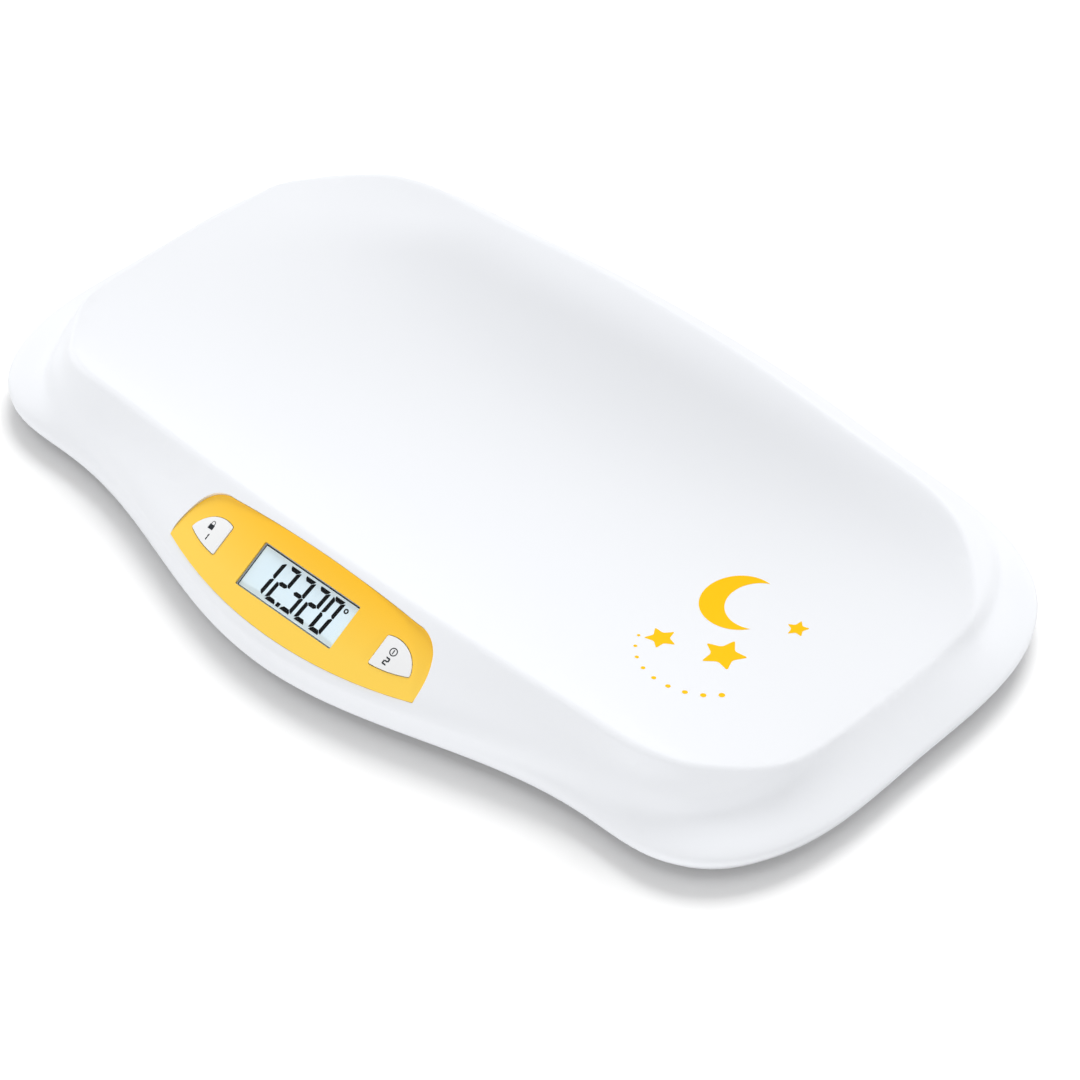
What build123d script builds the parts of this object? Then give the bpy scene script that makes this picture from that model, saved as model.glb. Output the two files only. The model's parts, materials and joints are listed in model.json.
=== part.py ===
"""Digital baby weighing scale: a moulded tray on a dished base, four load-cell feet and a tilted display.

Millimetres. The origin is on the floor under the middle of the plan, +X runs along the tray, the
display faces -Y and +Z is up.
"""

import os
from math import cos, pi, radians, sin

from build123d import *

os.makedirs("parts", exist_ok=True)

# ---------------------------------------------------------------- tray, driving dimensions
WALL = 2.6                  # moulded wall of the tray
CREASE_RADIUS = 4.0         # rounding where the lying area turns down into the brim
BACK_RADIUS = 1060.0        # bow of the back edge
TROUGH_FLOOR = 24.0         # lowest line of the lying area
TROUGH_RADIUS = 275.0
TROUGH_LENGTH = 600.0       # cylinder that hollows the lying area, longer than the tray
TROUGH_Y = 6.0
# Level rings of the tray from the lower edge to above the rim: height, half length, bow of the ends,
# front line beside the nose, how far the nose stands out and its half width, back line, front and
# back corner.
RINGS = (
    (10.0, 272.0, 4.5, -132.0, 36.5, 190.0, 168.0, 60.0, 85.0),
    (14.5, 273.4, 4.5, -133.5, 36.5, 190.0, 169.6, 60.0, 85.0),
    (19.5, 264.0, 3.0, -130.0, 38.5, 200.0, 166.5, 58.0, 82.0),
    (25.0, 245.0, 0.0, -125.0, 42.0, 215.0, 160.5, 55.0, 75.0),
    (31.0, 243.5, 2.0, -121.0, 39.0, 225.0, 154.0, 51.0, 68.0),
    (37.0, 239.0, 4.0, -118.0, 32.0, 215.0, 147.8, 49.0, 63.0),
    (43.0, 235.0, 4.5, -115.5, 24.0, 205.0, 141.5, 47.0, 60.0),
    (49.0, 232.0, 4.5, -113.5, 15.5, 195.0, 135.3, 46.0, 57.0),
    (55.0, 229.5, 4.5, -111.8, 6.5, 190.0, 129.2, 45.0, 55.0),
    (61.0, 227.5, 4.5, -110.5, 1.0, 190.0, 123.5, 45.0, 53.0),
)
EDGE_RING = RINGS[1]

# ---------------------------------------------------------------- display and buttons
# Depths along the panel normal (W) are counted from the middle of the fascia's face.
DISPLAY_TILT = 31.2
DISPLAY_Y = -143.6
DISPLAY_Z = 40.0
PANEL_RADIUS = 620.0        # the fascia bends round an axis along the slope
PANEL_THICK = 1.0
SLAB_DEPTH = 120.0          # reach along the slope of the sheets that cut the fascia
BED_THICK = 1.8             # wall of the tray under the fascia
WINDOW_LENGTH = 66.8
WINDOW_HEIGHT = 25.0
WINDOW_CORNER = 0.8
LENS_LIP = 1.3              # rim of the lens caught between fascia and tray
LENS_LIP_THICK = 0.6
GAP = 0.15
BUTTON_GAP = 0.35
BUTTON_PROUD = 0.5
BUTTON_TRAVEL = 0.6
BUTTON_LIP = 1.1            # rim that keeps a button from falling out
BUTTON_WALL = 1.6
BUTTON_EDGE_RADIUS = 0.35
BUTTON_HOLLOW = 4.2         # depth of the hollow under a button's face
BUTTON_POST_RADIUS = 2.0
PLUNGER_GAP = 0.2
BOARD_W = -13.4             # top face of the display board
BOARD_THICK = 1.6
SWITCH_PLACES = ((-64.0, 1.0), (64.0, 1.0))
SWITCH_HEIGHT = 1.5
PLUNGER_HEIGHT = 0.5
LCD_TOP_W = -2.75
LCD_LENGTH = 66.2
LCD_HEIGHT = 24.4
LCD_THICK = 2.8
LCD_FRAME_TOP_W = -4.5
LCD_FRAME_LENGTH = 76.0
LCD_FRAME_HEIGHT = 31.0
LCD_LEDGE = 3.0             # width of the two end ledges that the glass lies on
STRIP_WIDTH = 2.2
POST_PLACES = ((-44.0, 14.0), (44.0, 14.0), (-44.0, -10.0), (44.0, -10.0))
POST_RADIUS = 2.6
BOARD_HOLE_RADIUS = 1.3
BOARD_SCREW_RADIUS = 0.95
BOARD_SCREW_HEAD_RADIUS = 2.3
BOARD_PILOT_RADIUS = 1.0

# ---------------------------------------------------------------- base, feet and battery
BASE_Z = 5.0
BASE_THICK = 2.4
BASE_INSET = 6.0
BASE_WALL = 2.2
BASE_RIM_Z = 13.5
RIB_THICK = 1.6
RIB_Z = 11.6
RIB_LINES_Y = (-84.0, -8.0, 58.0)
RIB_LINES_X = (-205.0, -110.0, 0.0, 110.0, 205.0)
RIB_SPAN_X = 452.0
RIB_SPAN_Y = 236.0
RIB_MIDDLE_Y = 8.0
FOOT_PLACES = ((-205.0, -84.0), (205.0, -84.0), (-205.0, 112.0), (205.0, 112.0))
FOOT_NAMES = ("front_left", "front_right", "rear_left", "rear_right")
FOOT_RADIUS = 15.0
FOOT_HEIGHT = 4.6
PAD_THICK = 2.0
CELL_SIZE = 34.0
CELL_THICK = 3.0
CELL_Z = 10.4
CELL_LEDGE = 2.4            # shelf under the rim of a load cell
CELL_CLEARANCE = 0.4
WELL_WALL = 2.2
SCREW_PLACES = ((-130.0, -92.0), (130.0, -92.0), (-130.0, 116.0), (130.0, 116.0), (-226.0, 6.0), (226.0, 6.0))
SCREW_SEAT_Z = 8.2
BOSS_Z = 14.0
BOSS_RADIUS = 4.5
SCREW_RADIUS = 1.2
SCREW_PILOT_RADIUS = 1.25
SCREW_HOLE_RADIUS = 1.75
SCREW_HEAD_RADIUS = 2.9
SCREW_HEAD_HEIGHT = 2.0
COUNTERBORE_RADIUS = 3.2
CROSS_LENGTH = 3.4
CROSS_WIDTH = 0.7
CROSS_DEPTH = 1.2
BATTERY_PLACE = (0.0, 101.0)
BATTERY_LENGTH = 46.0       # standard 9 V block without its terminals
BATTERY_WIDTH = 26.5
BATTERY_HEIGHT = 17.5
BATTERY_FROM_Z = 7.1
TERMINAL_HEIGHT = 2.0
TERMINAL_PITCH = 12.7
TERMINAL_RADII = (2.9, 3.9)
SNAP_THICK = 3.0
SNAP_LENGTH = 24.0
SNAP_WIDTH = 11.0
BAY_LENGTH = 52.4
BAY_WIDTH = 27.1
BAY_TOP_Z = 25.2
TOWER_LENGTH = 70.0
DOOR_LENGTH = 60.0
DOOR_WIDTH = 36.0
DOOR_THICK = 2.0
DOOR_GAP = 0.2
DOOR_TRAVEL = 8.0           # slide that frees the tongues, before the door lifts off
TONGUE_LENGTH = 6.0
TONGUE_REACH = 2.0
TONGUE_LINES_Y = (-10.0, 6.0)
LIP_Z = 6.2                 # top of the lips that the tongues ride on
BOARD_PLACE = (-62.0, -40.0)
BOARD_LENGTH = 62.0
BOARD_WIDTH = 40.0
BOARD_Z = 13.0

PANEL = Plane(
    origin=(0, DISPLAY_Y, DISPLAY_Z),
    x_dir=(1, 0, 0),
    z_dir=(0, -sin(radians(DISPLAY_TILT)), cos(radians(DISPLAY_TILT))),
)


# ---------------------------------------------------------------- forms shared by several pieces
def ring_outline(ring, inset=0.0):
    """Right half of a level ring, from the front centre line round the end to the back one."""
    _, half_length, end_bow, front, nose, nose_half, back, front_corner, back_corner = ring
    half_length -= inset
    front += inset
    back -= inset
    front_corner -= inset
    back_corner -= inset
    corner_x = half_length - end_bow - front_corner
    half = []
    for share in (0.0, 0.14, 0.28, 0.43, 0.58, 0.74, 0.9):
        x = corner_x * share
        swell = nose * (1 + cos(pi * min(x / nose_half, 1.0))) / 2
        half.append((x, front - swell))
    corner_y = front + front_corner
    for angle in (-70, -45, -20):
        x = corner_x + front_corner * cos(radians(angle))
        half.append((x, corner_y + front_corner * sin(radians(angle))))
    half.append((half_length, TROUGH_Y))
    corner_x = half_length - end_bow - back_corner
    corner_y = back - corner_x**2 / (2 * BACK_RADIUS) - back_corner
    for angle in (20, 45, 70):
        x = corner_x + back_corner * cos(radians(angle))
        half.append((x, corner_y + back_corner * sin(radians(angle))))
    for share in (0.8, 0.4, 0.0):
        x = corner_x * share
        half.append((x, back - x**2 / (2 * BACK_RADIUS)))
    return half


def ring_wire(half, z):
    """Closed level ring through a right half and its mirror image, in two edges that meet at x = 0."""
    mirrored = [(-x, y) for x, y in reversed(half[1:-1])]
    ring = Spline(*[(x, y, z) for x, y in half + mirrored], periodic=True)
    return Wire([ring.trim(0.0, 0.5), ring.trim(0.5, 1.0)])


def tray_form(inset=0.0, drop=0.0, crease_radius=0.0):
    """Solid under the brim and the lying area; inset and dropped it is the mould core."""
    rings = [ring_wire(ring_outline(ring, inset), ring[0] - drop) for ring in RINGS]
    with BuildPart() as form:
        add(Solid.make_loft(rings))
        with BuildSketch(Plane.YZ.offset(-TROUGH_LENGTH / 2)):
            with Locations((TROUGH_Y, TROUGH_FLOOR + TROUGH_RADIUS)):
                Circle(TROUGH_RADIUS + drop)
        extrude(amount=TROUGH_LENGTH, mode=Mode.SUBTRACT)
        if crease_radius:
            lying_area = form.faces().filter_by(GeomType.CYLINDER)
            fillet(lying_area.edges(), radius=crease_radius)
    return form.part


def plan_face(inset, height):
    """Flat face of the tray's edge outline, drawn in by an inset."""
    return Face(ring_wire(ring_outline(EDGE_RING, inset), height))


def bent_slab(top, bottom):
    """Sheet between two depths under the bent face of the fascia, far wider than the fascia."""
    with BuildPart() as slab:
        with BuildSketch(PANEL.rotated((90, 0, 0)).offset(-SLAB_DEPTH / 2)):
            with Locations((0, -PANEL_RADIUS)):
                Circle(PANEL_RADIUS + top)
                Circle(PANEL_RADIUS + bottom, mode=Mode.SUBTRACT)
        extrude(amount=SLAB_DEPTH)
    return slab.part


def fascia_sketch(depth, grow=0.0):
    """Outline of the fascia: a bowed lower edge, two sharp lower corners and round shoulders."""
    with BuildSketch(PANEL.offset(depth)) as face:
        with BuildLine():
            lower = ThreePointArc((-85.6, -10.7), (0, -24.9), (85.6, -10.7))
            side = ThreePointArc(lower @ 1, (84.9, 1.5), (81.6, 11.6))
            shoulder = TangentArc(side @ 1, (64.5, 21.6), tangent=side % 1)
            ThreePointArc(shoulder @ 1, (0, 23.9), (-64.5, 21.6))
            mirror(side, about=Plane.YZ)
            mirror(shoulder, about=Plane.YZ)
        make_face()
        if grow:
            offset(amount=grow)
    return face.sketch


def leaf_sketch(depth, side, grow=0.0):
    """Button outline: straight towards the window, arched above and pointed to the outside."""
    with BuildSketch(PANEL.offset(depth)) as face:
        with BuildLine():
            Line((side * 54.7, -7.3), (side * 54.7, 9.2))
            ThreePointArc((side * 54.7, 9.2), (side * 70.2, 7.6), (side * 76.8, -1.6))
            ThreePointArc((side * 76.8, -1.6), (side * 66.2, -5.4), (side * 54.7, -7.3))
        make_face()
        fillet(face.vertices(), radius=1.0)
        if grow:
            offset(amount=grow)
    return face.sketch


def window_sketch(depth, grow=0.0):
    """Outline of the display window."""
    with BuildSketch(PANEL.offset(depth)) as face:
        RectangleRounded(WINDOW_LENGTH + 2 * grow, WINDOW_HEIGHT + 2 * grow, WINDOW_CORNER)
    return face.sketch


def export(builder, name):
    builder.part.label = name
    export_step(builder.part, f"parts/{name}.step")


# ---------------------------------------------------------------- control panel on the nose
# Everything that follows the fascia's bend is a straight prism cut to a bent slab.
CORE_REACH = 80.0           # passes right through the mould core
REACH = 20.0                # prism length that passes right through the nose's wall
SHELL_UNDER = PANEL_THICK + BED_THICK
BUTTON_FOOT_W = BOARD_W + SWITCH_HEIGHT + PLUNGER_HEIGHT + PLUNGER_GAP + BUTTON_TRAVEL

with BuildPart() as control_panel:
    extrude(fascia_sketch(-REACH), amount=2 * REACH)
    add(bent_slab(0, -PANEL_THICK), mode=Mode.INTERSECT)
    extrude(window_sketch(-REACH, GAP), amount=2 * REACH, mode=Mode.SUBTRACT)
    for side in (-1, 1):
        extrude(leaf_sketch(-REACH, side, BUTTON_GAP), amount=2 * REACH, mode=Mode.SUBTRACT)
export(control_panel, "control_panel")

with BuildPart() as lens_lip:
    extrude(window_sketch(-REACH, LENS_LIP), amount=2 * REACH)
    add(bent_slab(-PANEL_THICK, -PANEL_THICK - LENS_LIP_THICK), mode=Mode.INTERSECT)

with BuildPart() as display_lens:
    extrude(window_sketch(-REACH), amount=2 * REACH)
    add(bent_slab(-GAP, -PANEL_THICK - LENS_LIP_THICK), mode=Mode.INTERSECT)
    add(lens_lip.part)
export(display_lens, "display_lens")

for side, name in ((-1, "hold_button"), (1, "tare_button")):
    with BuildPart() as button_lip:
        extrude(leaf_sketch(BUTTON_FOOT_W, side, BUTTON_LIP), amount=REACH)
        add(bent_slab(-SHELL_UNDER - PLUNGER_GAP, -REACH), mode=Mode.INTERSECT)

    with BuildPart() as button:
        extrude(leaf_sketch(BUTTON_FOOT_W, side), amount=REACH)
        add(bent_slab(BUTTON_PROUD, -REACH), mode=Mode.INTERSECT)
        pressed_face = button.faces().filter_by(GeomType.CYLINDER).sort_by(Axis.Z)[-1]
        fillet(pressed_face.edges(), radius=BUTTON_EDGE_RADIUS)
        add(button_lip.part)
        extrude(leaf_sketch(BUTTON_FOOT_W, side, -BUTTON_WALL), amount=BUTTON_HOLLOW, mode=Mode.SUBTRACT)
        with BuildSketch(PANEL.offset(BUTTON_FOOT_W)):
            with Locations((side * SWITCH_PLACES[1][0], SWITCH_PLACES[1][1])):
                Circle(BUTTON_POST_RADIUS)
        extrude(amount=BUTTON_HOLLOW)
    export(button, name)

with BuildPart() as button_switches:
    with BuildSketch(PANEL.offset(BOARD_W)):
        with Locations(*SWITCH_PLACES):
            RectangleRounded(6.2, 6.2, 0.5)
    extrude(amount=SWITCH_HEIGHT)
    with BuildSketch(PANEL.offset(BOARD_W + SWITCH_HEIGHT)):
        with Locations(*SWITCH_PLACES):
            Circle(1.6)
    extrude(amount=PLUNGER_HEIGHT)
export(button_switches, "button_switches")

LCD_BOTTOM_W = LCD_TOP_W - LCD_THICK
with BuildPart() as lcd_module:
    with BuildSketch(PANEL.offset(LCD_TOP_W)):
        Rectangle(LCD_LENGTH, LCD_HEIGHT)
    extrude(amount=-LCD_THICK)
export(lcd_module, "lcd_module")

with BuildPart() as lcd_frame:
    with BuildSketch(PANEL.offset(BOARD_W)):
        RectangleRounded(LCD_FRAME_LENGTH, LCD_FRAME_HEIGHT, 2)
        Rectangle(LCD_LENGTH + 2 * GAP, LCD_HEIGHT + 2 * GAP, mode=Mode.SUBTRACT)
    extrude(amount=LCD_FRAME_TOP_W - BOARD_W)
    ledge_u = LCD_LENGTH / 2 + GAP - LCD_LEDGE / 2
    with BuildSketch(PANEL.offset(BOARD_W)):
        with Locations((-ledge_u, 0), (ledge_u, 0)):
            Rectangle(LCD_LEDGE, LCD_HEIGHT + 2 * GAP)
    extrude(amount=LCD_BOTTOM_W - BOARD_W)
export(lcd_frame, "lcd_frame")

with BuildPart() as contact_strips:
    strip_v = LCD_HEIGHT / 2 - STRIP_WIDTH / 2
    with BuildSketch(PANEL.offset(BOARD_W)):
        with Locations((0, -strip_v), (0, strip_v)):
            Rectangle(LCD_LENGTH - 2 * LCD_LEDGE - 1, STRIP_WIDTH)
    extrude(amount=LCD_BOTTOM_W - BOARD_W)
export(contact_strips, "contact_strips")

with BuildPart() as display_board:
    with BuildSketch(PANEL.offset(BOARD_W)):
        with BuildLine():
            Polyline((-76, 17), (76, 17), (76, -6), (66, -14), (-66, -14), (-76, -6), close=True)
        make_face()
        with Locations(*POST_PLACES):
            Circle(BOARD_HOLE_RADIUS, mode=Mode.SUBTRACT)
    extrude(amount=-BOARD_THICK)
    with BuildSketch(PANEL.offset(BOARD_W - BOARD_THICK)):
        with Locations((-10, 2)):
            Rectangle(12, 12)
        with Locations((24, 6)):
            Rectangle(14, 5)
    extrude(amount=-2.2)
export(display_board, "display_board")

with BuildPart() as board_screws:
    with BuildSketch(PANEL.offset(BOARD_W - BOARD_THICK)):
        with Locations(*POST_PLACES):
            Circle(BOARD_SCREW_HEAD_RADIUS)
    extrude(amount=-1.5)
    with BuildSketch(PANEL.offset(BOARD_W - BOARD_THICK)):
        with Locations(*POST_PLACES):
            Circle(BOARD_SCREW_RADIUS)
    extrude(amount=6.5)
export(board_screws, "board_screws")

# ---------------------------------------------------------------- tray: outer form less the mould core
with BuildPart() as panel_bed:
    extrude(fascia_sketch(-REACH, 3.0), amount=2 * REACH)
    add(bent_slab(REACH, -SHELL_UNDER), mode=Mode.INTERSECT)

with BuildPart() as panel_recess:
    extrude(fascia_sketch(-REACH, GAP), amount=2 * REACH)
    add(bent_slab(REACH, -PANEL_THICK), mode=Mode.INTERSECT)

with BuildPart() as lens_pocket:
    extrude(window_sketch(-REACH, LENS_LIP + GAP), amount=2 * REACH)
    add(bent_slab(REACH, -PANEL_THICK - LENS_LIP_THICK), mode=Mode.INTERSECT)

with BuildPart() as core:
    add(tray_form(WALL, WALL))
    with BuildSketch(Plane.XY.offset(BOSS_Z)):
        with Locations(*SCREW_PLACES):
            Circle(BOSS_RADIUS)
    extrude(amount=CORE_REACH, mode=Mode.SUBTRACT)
    with BuildSketch(PANEL.offset(BOARD_W)):
        with Locations(*POST_PLACES):
            Circle(POST_RADIUS)
    extrude(amount=1.5 * REACH, mode=Mode.SUBTRACT)
    add(panel_bed.part, mode=Mode.SUBTRACT)

with BuildPart() as top_shell:
    add(tray_form(crease_radius=CREASE_RADIUS))
    add(core.part, mode=Mode.SUBTRACT)
    add(panel_recess.part, mode=Mode.SUBTRACT)
    add(lens_pocket.part, mode=Mode.SUBTRACT)
    extrude(window_sketch(-REACH), amount=2 * REACH, mode=Mode.SUBTRACT)
    for side in (-1, 1):
        extrude(leaf_sketch(-REACH, side, BUTTON_GAP), amount=2 * REACH, mode=Mode.SUBTRACT)
    with BuildSketch(Plane.XY.offset(BOSS_Z)):
        with Locations(*SCREW_PLACES):
            Circle(SCREW_PILOT_RADIUS)
    extrude(amount=6.0, mode=Mode.SUBTRACT)
    with BuildSketch(PANEL.offset(BOARD_W)):
        with Locations(*POST_PLACES):
            Circle(BOARD_PILOT_RADIUS)
    extrude(amount=6.0, mode=Mode.SUBTRACT)
export(top_shell, "top_shell")

# ---------------------------------------------------------------- base with its wells and battery bay
FLOOR_Z = BASE_Z + BASE_THICK
BATTERY_X, BATTERY_Y = BATTERY_PLACE
CELL_SEAT = CELL_SIZE + 2 * CELL_CLEARANCE
WELL_SIZE = CELL_SEAT + 2 * WELL_WALL
board_feet = [
    (BOARD_PLACE[0] + dx, BOARD_PLACE[1] + dy)
    for dx in (-BOARD_LENGTH / 2 + 4, BOARD_LENGTH / 2 - 4)
    for dy in (-BOARD_WIDTH / 2 + 4, BOARD_WIDTH / 2 - 4)
]

with BuildPart() as base_shell:
    extrude(plan_face(BASE_INSET, BASE_Z), amount=BASE_RIM_Z - BASE_Z)
    extrude(plan_face(BASE_INSET + BASE_WALL, FLOOR_Z), amount=BASE_RIM_Z, mode=Mode.SUBTRACT)

    # stiffening ribs
    with BuildSketch(Plane.XY.offset(FLOOR_Z)):
        for y in RIB_LINES_Y:
            with Locations((0, y)):
                Rectangle(RIB_SPAN_X, RIB_THICK)
        for x in RIB_LINES_X:
            with Locations((x, RIB_MIDDLE_Y)):
                Rectangle(RIB_THICK, RIB_SPAN_Y)
    extrude(amount=RIB_Z - FLOOR_Z)

    # wells: a load cell lies on a ledge over each foot
    with BuildSketch(Plane.XY.offset(FLOOR_Z)):
        with Locations(*FOOT_PLACES):
            RectangleRounded(WELL_SIZE, WELL_SIZE, 3)
    extrude(amount=CELL_Z + CELL_THICK - FLOOR_Z)
    with BuildSketch(Plane.XY.offset(CELL_Z)):
        with Locations(*FOOT_PLACES):
            RectangleRounded(CELL_SEAT, CELL_SEAT, 1.2)
    extrude(amount=CELL_THICK, mode=Mode.SUBTRACT)
    with BuildSketch(Plane.XY.offset(FLOOR_Z)):
        with Locations(*FOOT_PLACES):
            Rectangle(CELL_SIZE - 2 * CELL_LEDGE, CELL_SIZE - 2 * CELL_LEDGE)
    extrude(amount=CELL_Z - FLOOR_Z, mode=Mode.SUBTRACT)
    with BuildSketch(Plane.XY.offset(BASE_Z)):
        with Locations(*FOOT_PLACES):
            Circle(FOOT_RADIUS + 1.0)
    extrude(amount=BASE_THICK, mode=Mode.SUBTRACT)

    # screw bosses and board feet
    with BuildSketch(Plane.XY.offset(BASE_Z)):
        with Locations(*SCREW_PLACES):
            Circle(BOSS_RADIUS)
    extrude(amount=BOSS_Z - BASE_Z)
    with BuildSketch(Plane.XY.offset(BASE_Z)):
        with Locations(*SCREW_PLACES):
            Circle(SCREW_HOLE_RADIUS)
    extrude(amount=BOSS_Z - BASE_Z, mode=Mode.SUBTRACT)
    with BuildSketch(Plane.XY.offset(BASE_Z)):
        with Locations(*SCREW_PLACES):
            Circle(COUNTERBORE_RADIUS)
    extrude(amount=SCREW_SEAT_Z - BASE_Z, mode=Mode.SUBTRACT)
    with BuildSketch(Plane.XY.offset(FLOOR_Z)):
        with Locations(*board_feet):
            Circle(3.0)
    extrude(amount=BOARD_Z - FLOOR_Z)
    with BuildSketch(Plane.XY.offset(BOARD_Z)):
        with Locations(*board_feet):
            Circle(BOARD_PILOT_RADIUS)
    extrude(amount=-4.5, mode=Mode.SUBTRACT)

    # battery bay, its lead slot and the recess that the door slides in
    with BuildSketch(Plane.XY.offset(BASE_Z)):
        with Locations(BATTERY_PLACE):
            Rectangle(TOWER_LENGTH, DOOR_WIDTH + 8)
    extrude(amount=BAY_TOP_Z + BASE_THICK - BASE_Z)
    with BuildSketch(Plane.XY.offset(BASE_Z)):
        with Locations((BATTERY_X, BATTERY_Y + DOOR_TRAVEL / 2)):
            Rectangle(TOWER_LENGTH, DOOR_WIDTH + DOOR_TRAVEL + 8)
    extrude(amount=2 * BASE_THICK)
    with BuildSketch(Plane.XY.offset(BASE_Z)):
        with Locations(BATTERY_PLACE):
            Rectangle(BAY_LENGTH, BAY_WIDTH)
    extrude(amount=BAY_TOP_Z - BASE_Z, mode=Mode.SUBTRACT)
    with BuildSketch(Plane.XY.offset(BATTERY_FROM_Z + 7)):
        with Locations((TOWER_LENGTH / 2, BATTERY_Y)):
            Rectangle(20, 5)
    extrude(amount=4, mode=Mode.SUBTRACT)
    with BuildSketch(Plane.XY.offset(BASE_Z)):
        with Locations((BATTERY_X, BATTERY_Y + DOOR_TRAVEL / 2)):
            Rectangle(DOOR_LENGTH + 2 * DOOR_GAP, DOOR_WIDTH + DOOR_TRAVEL + 2 * DOOR_GAP)
    extrude(amount=DOOR_THICK + DOOR_GAP, mode=Mode.SUBTRACT)
    slot_span = TONGUE_LINES_Y[1] - TONGUE_LINES_Y[0] + TONGUE_LENGTH + DOOR_TRAVEL + 2 * DOOR_GAP
    slot_middle = BATTERY_Y + (sum(TONGUE_LINES_Y) + DOOR_TRAVEL) / 2
    slot_length = DOOR_LENGTH + 2 * (TONGUE_REACH + DOOR_GAP)
    with BuildSketch(Plane.XY.offset(LIP_Z)):
        with Locations((BATTERY_X, slot_middle)):
            Rectangle(slot_length, slot_span)
    extrude(amount=BASE_Z + DOOR_THICK + DOOR_GAP - LIP_Z, mode=Mode.SUBTRACT)
    with BuildSketch(Plane.XY.offset(BASE_Z)):
        for line in TONGUE_LINES_Y:
            with Locations((BATTERY_X, BATTERY_Y + line + DOOR_TRAVEL)):
                Rectangle(slot_length, TONGUE_LENGTH + 4 * DOOR_GAP)
    extrude(amount=LIP_Z - BASE_Z, mode=Mode.SUBTRACT)
export(base_shell, "base_shell")

# ---------------------------------------------------------------- load cells and feet
for (x, y), name in zip(FOOT_PLACES, FOOT_NAMES):
    with BuildPart() as load_cell:
        with BuildSketch(Plane.XY.offset(CELL_Z)):
            with Locations((x, y)):
                RectangleRounded(CELL_SIZE, CELL_SIZE, 1.0)
                Rectangle(CELL_SIZE - 10, CELL_SIZE - 12, mode=Mode.SUBTRACT)
                with Locations((0, -3)):
                    Rectangle(12, CELL_SIZE - 8)
        extrude(amount=CELL_THICK)
    export(load_cell, f"load_cell_{name}")

    with BuildPart() as foot:
        with BuildSketch(Plane.XY.offset(PAD_THICK)):
            with Locations((x, y)):
                Circle(FOOT_RADIUS)
        extrude(amount=FOOT_HEIGHT)
        chamfer(foot.faces().sort_by(Axis.Z)[-1].edges(), length=1.0)
        with BuildSketch(Plane.XY.offset(PAD_THICK + FOOT_HEIGHT)):
            with Locations((x, y)):
                Circle(5.0)
        extrude(amount=CELL_Z - PAD_THICK - FOOT_HEIGHT)
    export(foot, f"foot_{name}")

    with BuildPart() as foot_pad:
        with BuildSketch(Plane.XY):
            with Locations((x, y)):
                Circle(FOOT_RADIUS - 1.2)
        extrude(amount=PAD_THICK)
        chamfer(foot_pad.faces().sort_by(Axis.Z)[0].edges(), length=0.5)
    export(foot_pad, f"foot_pad_{name}")

# ---------------------------------------------------------------- electronics and battery on the base
with BuildPart() as amplifier_board:
    with BuildSketch(Plane.XY.offset(BOARD_Z)):
        with Locations(BOARD_PLACE):
            RectangleRounded(BOARD_LENGTH, BOARD_WIDTH, 1.5)
        with Locations(*board_feet):
            Circle(BOARD_HOLE_RADIUS, mode=Mode.SUBTRACT)
    extrude(amount=BOARD_THICK)
    with BuildSketch(Plane.XY.offset(BOARD_Z + BOARD_THICK)):
        with Locations((BOARD_PLACE[0] - 6, BOARD_PLACE[1] + 2)):
            Rectangle(11, 11)
        with Locations((BOARD_PLACE[0] + 14, BOARD_PLACE[1] + 4)):
            Rectangle(8, 6)
        with Locations((BOARD_PLACE[0], BOARD_PLACE[1] - 13)):
            Rectangle(26, 6)
    extrude(amount=2.4)
export(amplifier_board, "amplifier_board")

with BuildPart() as base_board_screws:
    with BuildSketch(Plane.XY.offset(BOARD_Z + BOARD_THICK)):
        with Locations(*board_feet):
            Circle(BOARD_SCREW_HEAD_RADIUS)
    extrude(amount=1.6)
    with BuildSketch(Plane.XY.offset(BOARD_Z + BOARD_THICK)):
        with Locations(*board_feet):
            Circle(BOARD_SCREW_RADIUS)
    extrude(amount=-5.5)
export(base_board_screws, "base_board_screws")

with BuildPart() as case_screws:
    with BuildSketch(Plane.XY.offset(SCREW_SEAT_Z)):
        with Locations(*SCREW_PLACES):
            Circle(SCREW_HEAD_RADIUS)
    extrude(amount=-SCREW_HEAD_HEIGHT)
    with BuildSketch(Plane.XY.offset(SCREW_SEAT_Z - SCREW_HEAD_HEIGHT)):
        with Locations(*SCREW_PLACES):
            Rectangle(CROSS_LENGTH, CROSS_WIDTH)
            Rectangle(CROSS_WIDTH, CROSS_LENGTH)
    extrude(amount=CROSS_DEPTH, mode=Mode.SUBTRACT)
    with BuildSketch(Plane.XY.offset(SCREW_SEAT_Z)):
        with Locations(*SCREW_PLACES):
            Circle(SCREW_RADIUS)
    extrude(amount=10.0)
export(case_screws, "case_screws")

battery_x = BATTERY_X - BAY_LENGTH / 2 + BATTERY_LENGTH / 2 + DOOR_GAP
battery_middle_z = BATTERY_FROM_Z + BATTERY_HEIGHT / 2
with BuildPart() as battery:
    with BuildSketch(Plane.XY.offset(BATTERY_FROM_Z)):
        with Locations((battery_x, BATTERY_Y)):
            RectangleRounded(BATTERY_LENGTH, BATTERY_WIDTH, 2.0)
    extrude(amount=BATTERY_HEIGHT)
    with BuildSketch(Plane.YZ.offset(battery_x + BATTERY_LENGTH / 2)):
        with Locations((BATTERY_Y - TERMINAL_PITCH / 2, battery_middle_z)):
            Circle(TERMINAL_RADII[0])
        with Locations((BATTERY_Y + TERMINAL_PITCH / 2, battery_middle_z)):
            Circle(TERMINAL_RADII[1])
    extrude(amount=TERMINAL_HEIGHT)
export(battery, "battery")

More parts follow.
